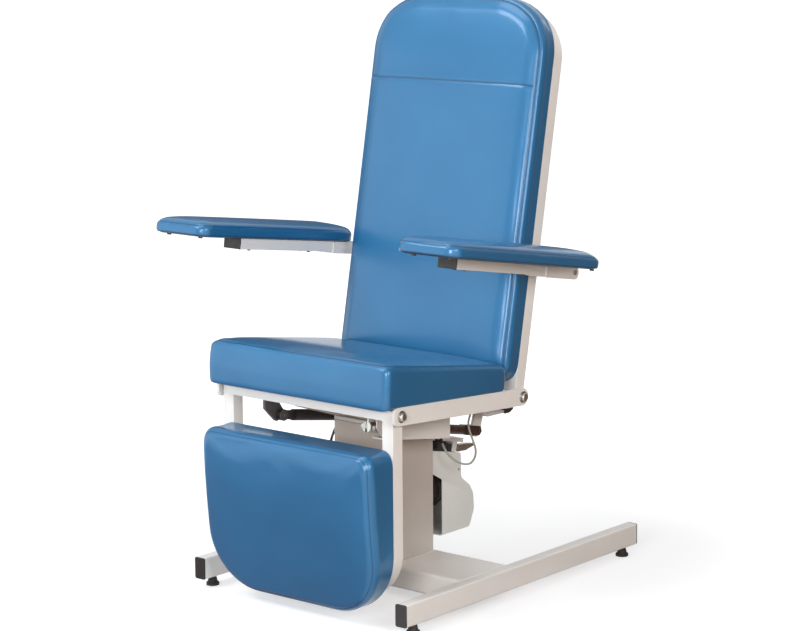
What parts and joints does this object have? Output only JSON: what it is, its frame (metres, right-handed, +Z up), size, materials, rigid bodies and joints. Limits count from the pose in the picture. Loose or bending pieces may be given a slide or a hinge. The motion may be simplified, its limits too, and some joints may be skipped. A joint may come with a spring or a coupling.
{
  "type": "phlebotomy chair",
  "caption": "Phlebotomy chair on a lifting column, with a reclining back, a coupled legrest and armrests that fold up.",
  "frame": {"origin": "on the floor, under the middle of the chair's bounding box", "axes": "+Z up, the sitter faces -Y, the sitter's left side is +X"},
  "size_m": [0.874, 0.9016, 1.3211],
  "materials": {
    "grey_powder_coat": "satin powder coat",
    "grey_abs": "satin",
    "blue_vinyl": "satin upholstery vinyl",
    "black_plastic": "matt",
    "black_rubber": "matt",
    "zinc_steel": "zinc plated",
    "black_steel": "gloss black",
    "plywood": "plywood",
    "grey_cable": "satin"
  },
  "bodies": {
    "base": {"rail_left": "grey_powder_coat", "rail_right": "grey_powder_coat", "rail_end_caps": "black_plastic", "cross_member": "grey_powder_coat", "column_outer": "grey_powder_coat", "column_glides": "black_plastic", "lift_cylinder": "zinc_steel"},
    "foot_front_left": {"foot_front_left": "black_rubber"},
    "foot_front_right": {"foot_front_right": "black_rubber"},
    "foot_rear_left": {"foot_rear_left": "black_rubber"},
    "foot_rear_right": {"foot_rear_right": "black_rubber"},
    "lift": {"column_inner": "grey_powder_coat", "lift_rod": "zinc_steel", "seat_carrier": "grey_powder_coat", "seat_bar_left": "grey_powder_coat", "seat_bar_right": "grey_powder_coat", "seat_cross_front": "grey_powder_coat", "seat_cross_rear": "grey_powder_coat", "seat_board": "plywood", "seat_cushion": "blue_vinyl", "pivot_bolts": "zinc_steel", "pivot_washers": "zinc_steel", "gas_spring_guard": "grey_powder_coat", "drive_cover": "grey_abs", "motor_ring": "black_plastic", "drive_motor": "black_steel", "drive_bracket": "grey_powder_coat", "release_block": "black_plastic", "release_cable": "grey_cable", "power_cable": "black_plastic", "cable_glands": "black_plastic"},
    "backrest": {"back_frame": "grey_powder_coat", "back_board": "plywood", "back_cushion": "blue_vinyl", "back_lever_left": "grey_powder_coat", "back_lever_right": "grey_powder_coat", "arm_bracket_left": "grey_powder_coat", "arm_bracket_right": "grey_powder_coat", "arm_pivot_bolts": "zinc_steel"},
    "legrest": {"leg_frame": "grey_powder_coat", "leg_board": "plywood", "leg_cushion": "blue_vinyl", "leg_lug": "black_steel"},
    "sync_link": {"sync_link": "black_steel"},
    "gas_spring_rod": {"gas_spring_rod": "black_steel"},
    "gas_spring_cylinder": {"gas_spring_cylinder": "black_steel"},
    "arm_left": {"arm_tube_left": "grey_powder_coat", "arm_end_cap_left": "black_plastic", "arm_board_left": "plywood", "arm_pad_left": "blue_vinyl", "arm_screws_left": "zinc_steel"},
    "arm_right": {"arm_tube_right": "grey_powder_coat", "arm_end_cap_right": "black_plastic", "arm_board_right": "plywood", "arm_pad_right": "blue_vinyl", "arm_screws_right": "zinc_steel"},
    "paddle": {"release_paddle": "zinc_steel", "paddle_grip": "black_rubber"},
    "release_lever": {"release_lever": "zinc_steel"}
  },
  "joints": [
    {"name": "foot_front_left_level", "type": "slide", "parent": "base", "child": "foot_front_left", "axis": [0, 0, -1], "range_m": [0, 0.01]},
    {"name": "foot_front_right_level", "type": "slide", "parent": "base", "child": "foot_front_right", "axis": [0, 0, -1], "range_m": [0, 0.01]},
    {"name": "foot_rear_left_level", "type": "slide", "parent": "base", "child": "foot_rear_left", "axis": [0, 0, -1], "range_m": [0, 0.01]},
    {"name": "foot_rear_right_level", "type": "slide", "parent": "base", "child": "foot_rear_right", "axis": [0, 0, -1], "range_m": [0, 0.01]},
    {"name": "seat_lift", "type": "slide", "parent": "base", "child": "lift", "axis": [0, 0, 1], "range_m": [0, 0.2]},
    {"name": "back_recline", "type": "hinge", "parent": "lift", "child": "backrest", "pos_m": [0, 0.06913, 0.437], "axis": [-1, 0, 0], "range_deg": [0, 60]},
    {"name": "leg_raise", "type": "hinge", "parent": "lift", "child": "legrest", "pos_m": [0, -0.35787, 0.466], "axis": [-1, 0, 0], "range_deg": [0, 64.64]},
    {"name": "sync_link_pivot", "type": "hinge", "parent": "legrest", "child": "sync_link", "pos_m": [0, -0.32388, 0.414], "axis": [-1, 0, 0], "range_deg": [-75.49, 0]},
    {"name": "gas_spring_pivot", "type": "hinge", "parent": "lift", "child": "gas_spring_rod", "pos_m": [0, -0.32788, 0.423], "axis": [-1, 0, 0], "range_deg": [-10.45, 0]},
    {"name": "gas_spring_stroke", "type": "slide", "parent": "gas_spring_rod", "child": "gas_spring_cylinder", "axis": [0, 0.9809, -0.1946], "range_m": [-0.06818, 0]},
    {"name": "arm_fold_left", "type": "hinge", "parent": "backrest", "child": "arm_left", "pos_m": [0, 0.15336, 0.71716], "axis": [-1, 0, 0], "range_deg": [0, 90]},
    {"name": "arm_fold_right", "type": "hinge", "parent": "backrest", "child": "arm_right", "pos_m": [0, 0.15289, 0.71682], "axis": [-1, 0, 0], "range_deg": [0, 90]},
    {"name": "paddle_pull", "type": "hinge", "parent": "lift", "child": "paddle", "pos_m": [0, 0.00413, 0.411], "axis": [1, 0, 0], "range_deg": [0, 8], "stiffness_Nm_per_rad": 3, "springref_deg": -4.58},
    {"name": "release_lever_pull", "type": "hinge", "parent": "lift", "child": "release_lever", "pos_m": [0, 0.08884, 0.28637], "axis": [-1, 0, 0], "range_deg": [0, 8], "stiffness_Nm_per_rad": 0.8, "springref_deg": -8.59}
  ],
  "couplings": [
    {"joint": "leg_raise", "follows": "back_recline", "ratio": 1.0766},
    {"joint": "sync_link_pivot", "follows": "back_recline", "ratio": -1.2573},
    {"joint": "gas_spring_pivot", "follows": "back_recline", "ratio": -0.17337},
    {"joint": "gas_spring_stroke", "follows": "back_recline", "m_per_rad": -0.064919}
  ]
}
